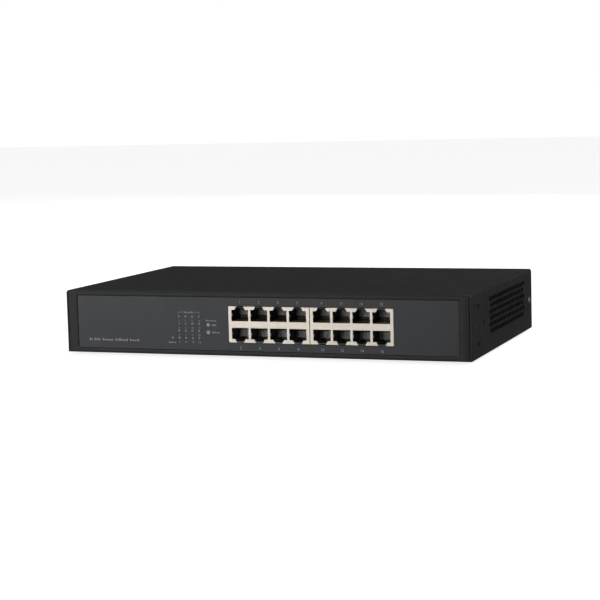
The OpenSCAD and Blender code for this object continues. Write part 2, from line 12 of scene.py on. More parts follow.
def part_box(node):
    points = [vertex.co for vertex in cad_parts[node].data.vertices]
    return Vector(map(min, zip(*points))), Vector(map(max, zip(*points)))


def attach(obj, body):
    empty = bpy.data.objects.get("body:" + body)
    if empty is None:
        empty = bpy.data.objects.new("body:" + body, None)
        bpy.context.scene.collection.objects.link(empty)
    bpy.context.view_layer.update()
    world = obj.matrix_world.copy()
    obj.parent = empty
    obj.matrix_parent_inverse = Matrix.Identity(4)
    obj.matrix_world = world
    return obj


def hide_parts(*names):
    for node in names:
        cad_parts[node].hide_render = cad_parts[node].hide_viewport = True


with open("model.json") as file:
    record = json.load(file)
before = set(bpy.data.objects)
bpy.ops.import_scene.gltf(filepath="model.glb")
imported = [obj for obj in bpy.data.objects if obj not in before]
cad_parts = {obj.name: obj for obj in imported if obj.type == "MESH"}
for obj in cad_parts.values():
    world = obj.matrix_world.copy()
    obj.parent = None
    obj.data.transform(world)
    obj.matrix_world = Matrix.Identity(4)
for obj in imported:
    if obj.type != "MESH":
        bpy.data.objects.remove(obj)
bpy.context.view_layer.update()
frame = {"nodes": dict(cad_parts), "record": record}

MM = 0.001
BODY = "root"
random.seed(7)

# ---- places taken from the frame, in mm ----


def box_mm(node):
    """Low and high corner of a CAD node, in mm."""
    low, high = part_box(node)
    return low / MM, high / MM


TRAY_LOW, TRAY_HIGH = box_mm("base_tray")
COVER_LOW, COVER_HIGH = box_mm("top_cover")
LABEL_LOW, LABEL_HIGH = box_mm("front_label")
FRONT, REAR = TRAY_LOW.y, TRAY_HIGH.y
BOTTOM, TOP = COVER_LOW.z, COVER_HIGH.z
SIDE = COVER_HIGH.x
SHEET = 1.0
LABEL_GAP = 0.2
SEAM = SIDE - SHEET - TRAY_HIGH.x
PRESS = LABEL_HIGH.y - FRONT
SCREW_LOW, SCREW_HIGH = box_mm("cover_screws")
SCREW_Y, SCREW_Z = (SCREW_LOW.y + SCREW_HIGH.y) / 2, (SCREW_LOW.z + SCREW_HIGH.z) / 2

SOCKET_PITCH = 13.97
SOCKET_W = 12.2
SOCKET_H = 7.65
SOCKET_D = 14.5
BAR_H = 4.7
NOTCH_W = 6.8
# From a socket's far side to the edge of its block.
EDGE_H = 2.45
CONTACTS = 8
CONTACT_PITCH = 1.02
BLOCKS = ("left", "right")


def block_centre(side):
    low, high = box_mm(f"jack_shield_{side}")
    return (low + high) / 2


def socket_places():
    """Each socket as (number, x, z of the block's middle, +1 for the upper row or -1)."""
    number = 0
    for side in BLOCKS:
        centre = block_centre(side)
        for column in range(4):
            x = centre.x + (column - 1.5) * SOCKET_PITCH
            for up in (1, -1):
                number += 1
                yield number, x, centre.z, up


LIGHT_PITCH = 5.0
LIGHT_X = -60.9
LIGHT_Z = BOTTOM + 11.4
LIGHT_D = 2.2


def light_places():
    """Each status light as (column, row, x, z); the power light is column -1."""
    places = [(column, row) for row in range(4) for column in range(4)] + [(-1, 0)]
    for column, row in places:
        yield column, row, LIGHT_X + column * LIGHT_PITCH, LIGHT_Z + row * LIGHT_PITCH


# ---- camera ----

# The camera stands to the right of the front and a little above it.
CAMERA_AZIMUTH = 20.2
CAMERA_ELEVATION = 6.34
CAMERA_ROLL = 1.49
CAMERA_DISTANCE = 1176.0
LENS_OVER_SENSOR = 2.8797
SENSOR = 36.0
# Where the front's lower middle lies in the camera's view, right and up, at that distance.
AIM_RIGHT = -26.06
AIM_UP = -38.59


def make_camera():
    azimuth, elevation, roll = map(math.radians, (CAMERA_AZIMUTH, CAMERA_ELEVATION, CAMERA_ROLL))
    flat_right = Vector((math.cos(azimuth), math.sin(azimuth), 0))
    forward = Vector((-math.sin(azimuth) * math.cos(elevation),
                      math.cos(azimuth) * math.cos(elevation), -math.sin(elevation)))
    level_up = flat_right.cross(forward)
    right = math.cos(roll) * flat_right - math.sin(roll) * level_up
    up = math.sin(roll) * flat_right + math.cos(roll) * level_up
    aim = Vector((0, FRONT, BOTTOM))
    place = aim - right * AIM_RIGHT - up * AIM_UP - forward * CAMERA_DISTANCE
    data = bpy.data.cameras.new("camera")
    data.sensor_width = SENSOR
    data.lens = SENSOR * LENS_OVER_SENSOR
    data.clip_end = 50
    camera = bpy.data.objects.new("camera", data)
    bpy.context.scene.collection.objects.link(camera)
    turn = Matrix((right, up, -forward)).transposed().to_4x4()
    camera.matrix_world = Matrix.Translation(place * MM) @ turn
    bpy.context.scene.camera = camera


# ---- floor and light ----

def area_light(name, place, target, size, watts, colour=(1, 1, 1)):
    data = bpy.data.lights.new(name, "AREA")
    data.shape = "RECTANGLE"
    data.size, data.size_y = size
    data.energy = watts
    data.color = colour
    light = bpy.data.objects.new(name, data)
    bpy.context.scene.collection.objects.link(light)
    light.location = place
    light.rotation_euler = (Vector(target) - Vector(place)).to_track_quat("-Z", "Y").to_euler()
    return light


def make_stage():
    floor_size = 14.0
    bm = bmesh.new()
    bmesh.ops.create_grid(bm, x_segments=2, y_segments=2, size=floor_size / 2)
    mesh = bpy.data.meshes.new("floor")
    bm.to_mesh(mesh)
    bm.free()
    floor = bpy.data.objects.new("floor", mesh)
    bpy.context.scene.collection.objects.link(floor)
    floor.visible_glossy = False
    floor.visible_diffuse = False
    mesh.materials.append(plain_floor())

    world = bpy.data.worlds.new("studio")
    bpy.context.scene.world = world
    world.use_nodes = True
    nodes, links = world.node_tree.nodes, world.node_tree.links
    nodes.clear()
    seen = nodes.new("ShaderNodeBackground")
    seen.inputs["Color"].default_value = (1, 1, 1, 1)
    seen.inputs["Strength"].default_value = 1.0
    light = nodes.new("ShaderNodeBackground")
    light.inputs["Color"].default_value = (0.96, 0.98, 1.0, 1)
    light.inputs["Strength"].default_value = 0.055
    rays = nodes.new("ShaderNodeLightPath")
    mix = nodes.new("ShaderNodeMixShader")
    out = nodes.new("ShaderNodeOutputWorld")
    links.new(rays.outputs["Is Camera Ray"], mix.inputs["Fac"])
    links.new(light.outputs[0], mix.inputs[1])
    links.new(seen.outputs[0], mix.inputs[2])
    links.new(mix.outputs[0], out.inputs["Surface"])

    cool = (0.97, 0.985, 1.0)
    area_light("left_softbox", (-0.74, -0.94, 0.26), (0, FRONT * MM, 0.02), (0.62, 0.42), 5.2,
               cool)
    area_light("low_key", (-0.60, -1.23, 0.13), (0.03, FRONT * MM, 0.03), (0.38, 0.20), 3.2,
               cool)
    area_light("socket_key", (-0.20, -1.37, 0.11), (0.03, FRONT * MM, 0.03), (0.22, 0.18), 2.4,
               cool)
    area_light("front_fill", (0.35, -1.6, 0.75), (0.05, FRONT * MM, 0.02), (0.9, 0.6), 1.3)
    area_light("right_softbox", (1.9, 0.1, 0.5), (0, 0, 0.02), (1.4, 1.0), 12.5)
    rear = area_light("rear_softbox", (0.4, 1.7, 0.4), (0, 0, 0.02), (1.4, 1.0), 36)
    rear.visible_glossy = False
    strip = area_light("edge_strip", (-0.2, -0.5, 1.5), (0, FRONT * MM, 0.04), (1.4, 0.5), 7)
    strip.visible_diffuse = False
    sun = bpy.data.lights.new("even_overhead", "SUN")
    sun.energy = 0.42
    sun.angle = math.radians(80)
    overhead = bpy.data.objects.new("even_overhead", sun)
    bpy.context.scene.collection.objects.link(overhead)
    overhead.rotation_euler = (math.radians(-12), math.radians(-6), 0)
    bpy.context.scene.view_settings.view_transform = "Standard"


# ---- materials ----

def shader(name, base, roughness, metallic=0.0, specular=0.5, second=None, blotch=0.0,
           blotch_size=20.0, rough_change=0.05, bumps=(), stretch=(1, 1, 1), transmission=0.0,
           coat=0.0):
    """A Principled material whose colour and roughness drift, with bumps of (size in mm, height in mm).

    second and blotch mix another colour in, over patches of blotch_size mm."""
    material = bpy.data.materials.new(name)
    material.use_nodes = True
    nodes, links = material.node_tree.nodes, material.node_tree.links
    surface = nodes["Principled BSDF"]
    surface.inputs["Metallic"].default_value = metallic
    surface.inputs["Specular IOR Level"].default_value = specular
    surface.inputs["Transmission Weight"].default_value = transmission
    surface.inputs["Coat Weight"].default_value = coat
    surface.inputs["Coat Roughness"].default_value = 0.15

    place = nodes.new("ShaderNodeTexCoord")
    scaled = nodes.new("ShaderNodeMapping")
    scaled.inputs["Scale"].default_value = stretch
    links.new(place.outputs["Object"], scaled.inputs["Vector"])

    def noise(size, detail=3.0):
        texture = nodes.new("ShaderNodeTexNoise")
        texture.inputs["Scale"].default_value = 1 / (size * MM)
        texture.inputs["Detail"].default_value = detail
        links.new(scaled.outputs["Vector"], texture.inputs["Vector"])
        return texture.outputs["Fac"]

    other = second or tuple(min(1.0, c * 1.35 + 0.004) for c in base)
    colour = nodes.new("ShaderNodeMix")
    colour.data_type = "RGBA"
    colour.inputs["A"].default_value = (*base, 1)
    colour.inputs["B"].default_value = (*other, 1)
    share = nodes.new("ShaderNodeMapRange")
    share.inputs["From Min"].default_value = 0.35
    share.inputs["From Max"].default_value = 0.65
    share.inputs["To Max"].default_value = blotch or 0.25
    links.new(noise(blotch_size, 4.0), share.inputs["Value"])
    links.new(share.outputs["Result"], colour.inputs["Factor"])
    links.new(colour.outputs["Result"], surface.inputs["Base Color"])

    rough = nodes.new("ShaderNodeMapRange")
    rough.inputs["From Min"].default_value = 0.3
    rough.inputs["From Max"].default_value = 0.7
    rough.inputs["To Min"].default_value = max(0.02, roughness - rough_change)
    rough.inputs["To Max"].default_value = min(1.0, roughness + rough_change)
    links.new(noise(blotch_size * 0.6), rough.inputs["Value"])
    links.new(rough.outputs["Result"], surface.inputs["Roughness"])

    normal = None
    for size, height in bumps:
        bump = nodes.new("ShaderNodeBump")
        bump.inputs["Strength"].default_value = 1.0
        bump.inputs["Distance"].default_value = height * MM
        links.new(noise(size, 2.0), bump.inputs["Height"])
        if normal is not None:
            links.new(normal, bump.inputs["Normal"])
        normal = bump.outputs["Normal"]
    if normal is not None:
        links.new(normal, surface.inputs["Normal"])
    return material


def plain_floor():
    """A pale floor that glows a little, like a lit table."""
    material = shader("pale_floor", (0.6, 0.6, 0.6), 0.9, specular=0.1, blotch_size=900,
                      blotch=0.1, second=(0.62, 0.62, 0.62), bumps=((6, 0.02),))
    surface = material.node_tree.nodes["Principled BSDF"]
    surface.inputs["Emission Color"].default_value = (1, 1, 1, 1)
    surface.inputs["Emission Strength"].default_value = 0.82
    return material


def make_materials():
    """One material per slot of the record, by the slot's name, and two more: print and combs."""
    fine = ((0.35, 0.012),)
    return {
        "case_paint": shader("case_paint", (0.0170, 0.0173, 0.0180), 0.60, specular=0.25,
                             second=(0.0194, 0.0197, 0.0205), blotch=0.5, blotch_size=14,
                             rough_change=0.03, bumps=((1.0, 0.012), (0.35, 0.006))),
        "label_film": shader("label_film", (0.0222, 0.0226, 0.0242), 0.5, specular=0.34,
                             second=(0.0261, 0.0266, 0.0284), blotch=0.5, blotch_size=30,
                             rough_change=0.03, bumps=((0.30, 0.003),)),
        "print_ink": shader("print_ink", (0.30, 0.30, 0.305), 0.55, blotch_size=3,
                            second=(0.26, 0.26, 0.265), blotch=0.6, bumps=((0.2, 0.003),)),
        "light_guide": shader("light_guide", (0.125, 0.13, 0.137), 0.35, specular=0.5,
                              transmission=0.2, blotch_size=4, bumps=((1.5, 0.004),)),
        "led": shader("led", (0.80, 0.79, 0.70), 0.4, blotch_size=1.2, bumps=fine),
        "shield_steel": shader("shield_steel", (0.57, 0.516, 0.445), 0.52, metallic=0.85,
                               second=(0.53, 0.478, 0.410), blotch=0.6, blotch_size=5,
                               rough_change=0.05, stretch=(1, 1, 5),
                               bumps=((0.8, 0.004), (0.2, 0.0015))),
        "jack_plastic": shader("jack_plastic", (0.010, 0.010, 0.011), 0.45, blotch_size=4,
                               second=(0.016, 0.016, 0.017), blotch=0.5, bumps=fine),
        "contact_comb": shader("contact_comb", (0.40, 0.40, 0.41), 0.5, blotch_size=2,
                               second=(0.45, 0.45, 0.46), blotch=0.5, bumps=fine),
        # the contacts' gold is about half as bright as bare gold: painted shade for the shade deep
        # inside the sockets, on top of the gold's own colour
        "contact_gold": shader("contact_gold", (0.48, 0.34, 0.13), 0.22, metallic=1.0,
                               blotch_size=1.0, second=(0.42, 0.29, 0.10), blotch=0.5,
                               bumps=((0.3, 0.002),)),
        "board_green": shader("board_green", (0.018, 0.115, 0.050), 0.32, coat=0.3,
                              second=(0.030, 0.17, 0.075), blotch=0.9, blotch_size=2.4,
                              stretch=(1, 3, 1), bumps=((0.9, 0.02),)),
        "board_tan": shader("board_tan", (0.34, 0.24, 0.10), 0.5, second=(0.42, 0.31, 0.14),
                            blotch=0.8, blotch_size=1.6, bumps=((0.7, 0.015),)),
        "chip_black": shader("chip_black", (0.020, 0.020, 0.021), 0.55, blotch_size=3,
                             second=(0.035, 0.035, 0.036), blotch=0.6, bumps=fine),
        "heatsink": shader("heatsink", (0.62, 0.63, 0.65), 0.35, metallic=1.0, blotch_size=3,
                           stretch=(6, 1, 1), second=(0.52, 0.53, 0.55), blotch=0.7,
                           bumps=((0.4, 0.006),)),
        "crystal_can": shader("crystal_can", (0.70, 0.71, 0.72), 0.28, metallic=1.0,
                              blotch_size=2, bumps=((0.5, 0.003),)),
        "inductor": shader("inductor", (0.085, 0.085, 0.095), 0.7, blotch_size=0.8,
                           second=(0.13, 0.13, 0.14), blotch=0.8, bumps=((0.3, 0.02),)),
        "ceramic": shader("ceramic", (0.42, 0.33, 0.22), 0.5, blotch_size=0.8,
                          second=(0.66, 0.63, 0.58), blotch=0.9, bumps=fine),
        "can_sleeve": shader("can_sleeve", (0.030, 0.038, 0.060), 0.35, blotch_size=6,
                             second=(0.045, 0.055, 0.085), blotch=0.5, bumps=fine),
        "inlet_plastic": shader("inlet_plastic", (0.012, 0.012, 0.013), 0.38, blotch_size=6,
                                second=(0.018, 0.018, 0.019), blotch=0.5,
                                bumps=((0.5, 0.010),)),
        "pin_brass": shader("pin_brass", (0.76, 0.73, 0.66), 0.25, metallic=1.0,
                            blotch_size=1.5, bumps=((0.4, 0.003),)),
        "screw_black": shader("screw_black", (0.055, 0.055, 0.058), 0.35, metallic=0.9,
                              blotch_size=1.5, bumps=((0.4, 0.006),)),
        "screw_bright": shader("screw_bright", (0.52, 0.52, 0.515), 0.36, metallic=1.0,
                               second=(0.42, 0.42, 0.41), blotch=0.7, blotch_size=1.2,
                               bumps=((0.5, 0.006),)),
        "earth_screw": shader("earth_screw", (0.66, 0.54, 0.28), 0.33, metallic=1.0,
                              second=(0.62, 0.60, 0.34), blotch=0.8, blotch_size=2,
                              bumps=((0.5, 0.006),)),
        "film_clear": shader("film_clear", (0.70, 0.71, 0.72), 0.3, transmission=0.4,
                             blotch_size=30, bumps=((8, 0.05),)),
        "transformer": shader("transformer", (0.52, 0.36, 0.05), 0.4, blotch_size=5,
                              second=(0.44, 0.29, 0.03), blotch=0.6, stretch=(1, 1, 4),
                              bumps=((1.2, 0.03),)),
        "choke": shader("choke", (0.035, 0.15, 0.075), 0.4, blotch_size=2,
                        second=(0.05, 0.2, 0.1), blotch=0.5, bumps=((0.8, 0.02),)),
        "line_box": shader("line_box", (0.58, 0.40, 0.05), 0.45, blotch_size=5,
                           second=(0.50, 0.34, 0.04), blotch=0.4, bumps=fine),
        "fuse": shader("fuse", (0.75, 0.80, 0.80), 0.12, transmission=0.6, blotch_size=3,
                       bumps=((1.0, 0.004),)),
        "connector": shader("connector", (0.74, 0.71, 0.62), 0.45, blotch_size=3,
                            second=(0.66, 0.63, 0.55), blotch=0.5, bumps=fine),
        "wire_brown": shader("wire_brown", (0.20, 0.085, 0.035), 0.4, blotch_size=3, bumps=fine),
        "wire_green": shader("wire_green", (0.13, 0.30, 0.04), 0.4, blotch_size=3,
                             second=(0.55, 0.50, 0.05), blotch=0.6, bumps=fine),
        "wire_red": shader("wire_red", (0.36, 0.02, 0.02), 0.4, blotch_size=3, bumps=fine),
        "foot_rubber": shader("foot_rubber", (0.014, 0.014, 0.014), 0.75, specular=0.3,
                              second=(0.022, 0.022, 0.022), blotch=0.6, blotch_size=2,
                              bumps=((0.4, 0.02),)),
    }


# ---- mesh tools; sizes in mm ----

def mesh_object(name, bm):
    """A new object from a mesh built in mm."""
    bmesh.ops.scale(bm, vec=(MM, MM, MM), verts=bm.verts)
    bmesh.ops.recalc_face_normals(bm, faces=bm.faces)
    mesh = bpy.data.meshes.new(name)
    bm.to_mesh(mesh)
    bm.free()
    piece = bpy.data.objects.new(name, mesh)
    bpy.context.scene.collection.objects.link(piece)
    return piece


def add_box(bm, low, high):
    low, high = Vector(low), Vector(high)
    middle = Matrix.Translation((low + high) / 2)
    bmesh.ops.create_cube(bm, size=1, matrix=middle @ Matrix.Diagonal((*(high - low), 1)))


def add_cylinder(bm, start, end, radius, sides=24, end_radius=None):
    start, end = Vector(start), Vector(end)
    along = end - start
    turn = along.to_track_quat("Z", "Y").to_matrix().to_4x4()
    bmesh.ops.create_cone(
        bm, cap_ends=True, segments=sides, radius1=radius,
        radius2=radius if end_radius is None else end_radius, depth=along.length,
        matrix=Matrix.Translation((start + end) / 2) @ turn)


def add_prism(bm, outline, y0, y1):
    """A solid from an outline of (x, z) points, run along Y."""
    near = [bm.verts.new((x, y0, z)) for x, z in outline]
    far = [bm.verts.new((x, y1, z)) for x, z in outline]
    count = len(outline)
    bm.faces.new(near)
    bm.faces.new(far[::-1])
    for i in range(count):
        n = (i + 1) % count
        bm.faces.new((near[i], far[i], far[n], near[n]))


def add_rings(bm, rings, closed=False):
    """Skins a run of rings, each a list of points with the same count. closed joins last to first."""
    made = [[bm.verts.new(p) for p in ring] for ring in rings]
    pairs = list(zip(made, made[1:] + made[:1] if closed else made[1:]))
    count = len(made[0])
    for one, two in pairs:
        for i in range(count):
            n = (i + 1) % count
            bm.faces.new((one[i], one[n], two[n], two[i]))
    if not closed:
        bm.faces.new(made[0][::-1])
        bm.faces.new(made[-1])


def rounded_rectangle(centre, w, h, r, y, steps=6):
    """Points of an upright rounded rectangle at depth y, centre given as (x, z)."""
    corners = ((1, 1, 0), (-1, 1, 90), (-1, -1, 180), (1, -1, 270))
    points = []
    for sx, sz, start in corners:
        for i in range(steps + 1):
            a = math.radians(start + 90 * i / steps)
            points.append((centre[0] + sx * (w / 2 - r) + r * math.cos(a), y,
                           centre[1] + sz * (h / 2 - r) + r * math.sin(a)))
    return points


def lathe(profile, sides=32):
    """Rings of points round the Z axis, from a profile of (radius, height)."""
    return [[(r * math.cos(math.tau * k / sides), r * math.sin(math.tau * k / sides), z)
             for k in range(sides)] for r, z in profile]


def applied(piece):
    """Makes the piece's modifiers part of its mesh."""
    bpy.context.view_layer.update()
    shown = piece.evaluated_get(bpy.context.evaluated_depsgraph_get())
    mesh = bpy.data.meshes.new_from_object(shown)
    piece.modifiers.clear()
    piece.data = mesh
    return piece


def boolean(piece, bm, operation):
    """Cuts away from piece, or joins to it, what bm holds."""
    tool = mesh_object("tool", bm)
    modifier = piece.modifiers.new("boolean", "BOOLEAN")
    modifier.operation = operation
    modifier.solver = "EXACT"
    modifier.use_self = True
    modifier.object = tool
    applied(piece)
    bpy.data.objects.remove(tool)
    return piece


def soften(piece, width, segments=2, angle=35):
    """Rounds every edge sharper than angle, with a radius of about width mm."""
    modifier = piece.modifiers.new("bevel", "BEVEL")
    modifier.width = width * MM
    modifier.segments = segments
    modifier.limit_method = "ANGLE"
    modifier.angle_limit = math.radians(angle)
    modifier.use_clamp_overlap = True
    modifier.harden_normals = True
    for face in piece.data.polygons:
        face.use_smooth = True
    return applied(piece)


def finished(piece, material_slot, stands_for=(), material=None):
    """Gives a piece its material and its body, and hides the CAD nodes that it stands for."""
    piece.data.materials.clear()
    piece.data.materials.append(MATERIALS[material or material_slot])
    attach(piece, BODY)
    if stands_for:
        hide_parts(*stands_for)
    return piece


def softened_copy(node, width, name=None, segments=2):
    """A copy of a CAD node's mesh with its edges rounded."""
    bm = bmesh.new()
    bm.from_mesh(frame["nodes"][node].data)
    bmesh.ops.remove_doubles(bm, verts=bm.verts, dist=1e-6)
    bmesh.ops.dissolve_limit(bm, angle_limit=math.radians(0.5), verts=bm.verts, edges=bm.edges)
    bmesh.ops.scale(bm, vec=(1 / MM,) * 3, verts=bm.verts)
    return soften(mesh_object(name or node + "_shown", bm), width, segments)


# ---- steel case ----

BEND = 2.0
BEND_STEPS = 8

# On the sides: y is measured back from the front, z up from the case's bottom.
VENT_PITCH, VENT_R = 5.1, 2.0
VENT_ROWS, VENT_COUNT = 6, 21
VENT_Y, VENT_Z = 50.9, 13.7
EAR_PAIR_Y, EAR_SINGLE_Y, EAR_Z = 19.2, 33.6, 21.8
EAR_HALF_PITCH, EAR_R = 12.7, 1.65
DIMPLE_R, DIMPLE_Y, DIMPLE_BELOW_EAR_Z = 2.0, 21.2, 0.8
DIMPLE_CENTRE_OUT = 1.6
COVER_SCREW_HOLE_R, TRAY_SCREW_HOLE_R = 1.6, 1.45

# In the rear panel.
INLET_CUT_HALF_W, INLET_CUT_HALF_H = 14.2, 10.2
INLET_SCREW_X, INLET_SCREW_HOLE_R = 20, 1.6
EARTH_HOLE_R = 2.1


def bend_points(sx, r, rising):
    """Points round the cover's bend on side sx, at radius r, going up the side or down it."""
    steps = range(BEND_STEPS + 1) if rising else range(BEND_STEPS, -1, -1)
    points = []
    for i in steps:
        a = math.radians(90 * i / BEND_STEPS)
        points.append((sx * (SIDE - BEND + r * math.cos(a)), TOP - BEND + r * math.sin(a)))
    return points


def make_cover():
    """The inverted-U cover: bends, vents, rack-ear holes, dimples and the front tongues."""
    outline = [(-SIDE, BOTTOM)]
    outline += bend_points(-1, BEND, True) + bend_points(1, BEND, False)
    outline += [(SIDE, BOTTOM), (SIDE - SHEET, BOTTOM)]
    outline += bend_points(1, BEND - SHEET, True) + bend_points(-1, BEND - SHEET, False)
    outline += [(-SIDE + SHEET, BOTTOM)]
    bm = bmesh.new()
    add_prism(bm, outline, FRONT, REAR)
    cover = mesh_object("cover", bm)

    holes = bmesh.new()
    through = SIDE + 5
    for row in range(VENT_ROWS):
        short = (VENT_ROWS - 1 - row) % 2
        z = BOTTOM + VENT_Z + row * VENT_PITCH * math.sin(math.radians(60))
        for i in range(VENT_COUNT - short):
            y = FRONT + VENT_Y + (i + short / 2) * VENT_PITCH
            add_cylinder(holes, (-through, y, z), (through, y, z), VENT_R)
    ear_z = BOTTOM + EAR_Z
    ears = ((EAR_PAIR_Y, ear_z - EAR_HALF_PITCH), (EAR_PAIR_Y, ear_z + EAR_HALF_PITCH),
            (EAR_SINGLE_Y, ear_z))
    for y, z in ears:
        add_cylinder(holes, (-through, FRONT + y, z), (through, FRONT + y, z), EAR_R, 32)
    add_cylinder(holes, (-through, SCREW_Y, SCREW_Z), (through, SCREW_Y, SCREW_Z),
                 COVER_SCREW_HOLE_R)
    boolean(cover, holes, "DIFFERENCE")

    dimples = bmesh.new()
    for sx in (-1, 1):
        turn = Matrix.Rotation(math.radians(90), 4, "Y")
        middle = Matrix.Translation((sx * (SIDE + DIMPLE_CENTRE_OUT), FRONT + DIMPLE_Y,
                                     ear_z - DIMPLE_BELOW_EAR_Z))
        bmesh.ops.create_uvsphere(dimples, u_segments=24, v_segments=12, radius=DIMPLE_R,
                                  matrix=middle @ turn)
    boolean(cover, dimples, "DIFFERENCE")

    tongues = bmesh.new()
    hook_z = TOP - 3 * SHEET - 2 * SEAM
    half_w, tip_y, root_y = 7, FRONT + 3, FRONT + 14
    for x in (-90, 0, 90):
        add_box(tongues, (x - half_w, tip_y, hook_z), (x + half_w, root_y, hook_z + SHEET))
        add_box(tongues, (x - half_w, FRONT + 13, hook_z + 0.5), (x + half_w, root_y, TOP - 0.5))
    boolean(cover, tongues, "UNION")
    soften(cover, 0.12, 2)
    return finished(cover, "case_paint", ["top_cover"])


def make_tray():
    """The folded tray: pressed front panel, floor, flanges, rear panel and screw tabs."""
    inner = TRAY_HIGH.x
    wall_top = TRAY_HIGH.z
    # the front wall reaches up close to the cover, so that no seam shows there
    front_top = TOP - SHEET - 0.05
    middle_z = (BOTTOM + front_top) / 2
    label_centre = (0, (LABEL_LOW.z + LABEL_HIGH.z) / 2)
    field_w = LABEL_HIGH.x - LABEL_LOW.x + 2 * LABEL_GAP
    field_h = LABEL_HIGH.z - LABEL_LOW.z + 2 * LABEL_GAP
    block_low, block_high = box_mm("jack_shield_left")
    _, right_high = box_mm("jack_shield_right")
    window_centre = ((block_low.x + right_high.x) / 2, (block_low.z + block_high.z) / 2)
    window_w = right_high.x - block_low.x + 0.8
    window_h = block_high.z - block_low.z + 0.6

    def wall(y, size=0.0):
        return rounded_rectangle((0, middle_z), 2 * inner - size, front_top - BOTTOM - size, 0.6, y)

    def field(grow, y, r):
        return rounded_rectangle(label_centre, field_w + grow, field_h + grow, r, y)

    def window(y):
        return rounded_rectangle(window_centre, window_w, window_h, 0.4, y)

    bm = bmesh.new()
    add_rings(bm, [
        wall(FRONT + 0.3),
        wall(FRONT + 0.08, 0.1),
        wall(FRONT, 0.5),
        field(0.7, FRONT, 1.7),
        field(0.3, FRONT + 0.06, 1.5),
        field(0.1, FRONT + 0.22, 1.4),
        field(0.0, FRONT + PRESS - 0.2, 1.4),
        field(-0.3, FRONT + PRESS, 1.3),
        window(FRONT + PRESS),
        window(FRONT + PRESS + SHEET),
        field(1.6, FRONT + PRESS + SHEET, 2.2),
        field(2.0, FRONT + PRESS + SHEET - 0.2, 2.4),
        field(2.2, FRONT + SHEET, 2.5),
        wall(FRONT + SHEET),
    ], closed=True)
    tray = mesh_object("tray", bm)

    holes = bmesh.new()
    for _, _, x, z in light_places():
        add_cylinder(holes, (x, FRONT, z), (x, FRONT + 4, z), LIGHT_D / 2 + 0.2)
    boolean(tray, holes, "DIFFERENCE")

    sheets = bmesh.new()
    start = FRONT + 0.4
    front_flange, rear_flange, side_flange_h = 7, 9, 6
    tab, tab_low, tab_high = 18, 12, 32
    add_box(sheets, (-inner, start, BOTTOM), (inner, REAR, BOTTOM + SHEET))
    add_box(sheets, (-inner, REAR - SHEET, BOTTOM), (inner, REAR, wall_top))
    add_box(sheets, (-inner, start, wall_top - SHEET), (inner, FRONT + front_flange, wall_top))
    add_box(sheets, (-inner, REAR - rear_flange, wall_top - SHEET), (inner, REAR, wall_top))
    for sx in (-1, 1):
        edge = sorted((sx * inner, sx * (inner - SHEET)))
        add_box(sheets, (edge[0], start, BOTTOM), (edge[1], REAR, BOTTOM + side_flange_h))
        add_box(sheets, (edge[0], REAR - tab, BOTTOM + tab_low), (edge[1], REAR, BOTTOM + tab_high))
    boolean(tray, sheets, "UNION")

    cuts = bmesh.new()
    inlet_low, inlet_high = box_mm("power_inlet")
    inlet_x, inlet_z = (inlet_low.x + inlet_high.x) / 2, (inlet_low.z + inlet_high.z) / 2
    add_box(cuts, (inlet_x - INLET_CUT_HALF_W, REAR - 3, inlet_z - INLET_CUT_HALF_H),
            (inlet_x + INLET_CUT_HALF_W, REAR + 3, inlet_z + INLET_CUT_HALF_H))
    earth_low, earth_high = box_mm("earth_screw")
    earth_x, earth_z = (earth_low.x + earth_high.x) / 2, (earth_low.z + earth_high.z) / 2
    add_cylinder(cuts, (earth_x, REAR - 3, earth_z), (earth_x, REAR + 3, earth_z), EARTH_HOLE_R)
    for sx in (-1, 1):
        hole_x = inlet_x + sx * INLET_SCREW_X
        add_cylinder(cuts, (hole_x, REAR - 3, inlet_z), (hole_x, REAR + 3, inlet_z),
                     INLET_SCREW_HOLE_R)
        add_cylinder(cuts, (sx * inner - 3, SCREW_Y, SCREW_Z),
                     (sx * inner + 3, SCREW_Y, SCREW_Z), TRAY_SCREW_HOLE_R)
    boolean(tray, cuts, "DIFFERENCE")
    soften(tray, 0.18, 2)
    return finished(tray, "case_paint", ["base_tray"])


# ---- front label and its print ----

def make_label():
    """The film in the pressed field, with the socket window and the light windows."""
    left_low, left_high = box_mm("jack_shield_left")
    _, right_high = box_mm("jack_shield_right")
    centre = (0, (LABEL_LOW.z + LABEL_HIGH.z) / 2)
    w, h = LABEL_HIGH.x - LABEL_LOW.x, LABEL_HIGH.z - LABEL_LOW.z
    hole = ((left_low.x + right_high.x) / 2, (left_low.z + left_high.z) / 2)
    hole_w, hole_h = right_high.x - left_low.x + 0.5, left_high.z - left_low.z + 0.4
    near, far = LABEL_LOW.y, LABEL_HIGH.y
    bm = bmesh.new()
    add_rings(bm, [
        rounded_rectangle(centre, w, h, 1.1, far),
        rounded_rectangle(centre, w, h, 1.1, near + 0.06),
        rounded_rectangle(centre, w - 0.12, h - 0.12, 1.04, near),
        rounded_rectangle(hole, hole_w + 0.08, hole_h + 0.08, 0.34, near),
        rounded_rectangle(hole, hole_w, hole_h, 0.3, near + 0.05),
        rounded_rectangle(hole, hole_w, hole_h, 0.3, far),
    ], closed=True)
    label = mesh_object("label", bm)
    holes = bmesh.new()
    for _, _, x, z in light_places():
        add_cylinder(holes, (x, near - 1, z), (x, far + 1, z), LIGHT_D / 2 + 0.1, 32)
    boolean(label, holes, "DIFFERENCE")
    for face in label.data.polygons:
        face.use_smooth = False
    return finished(label, "label_film", ["front_label"])


INK = 0.02


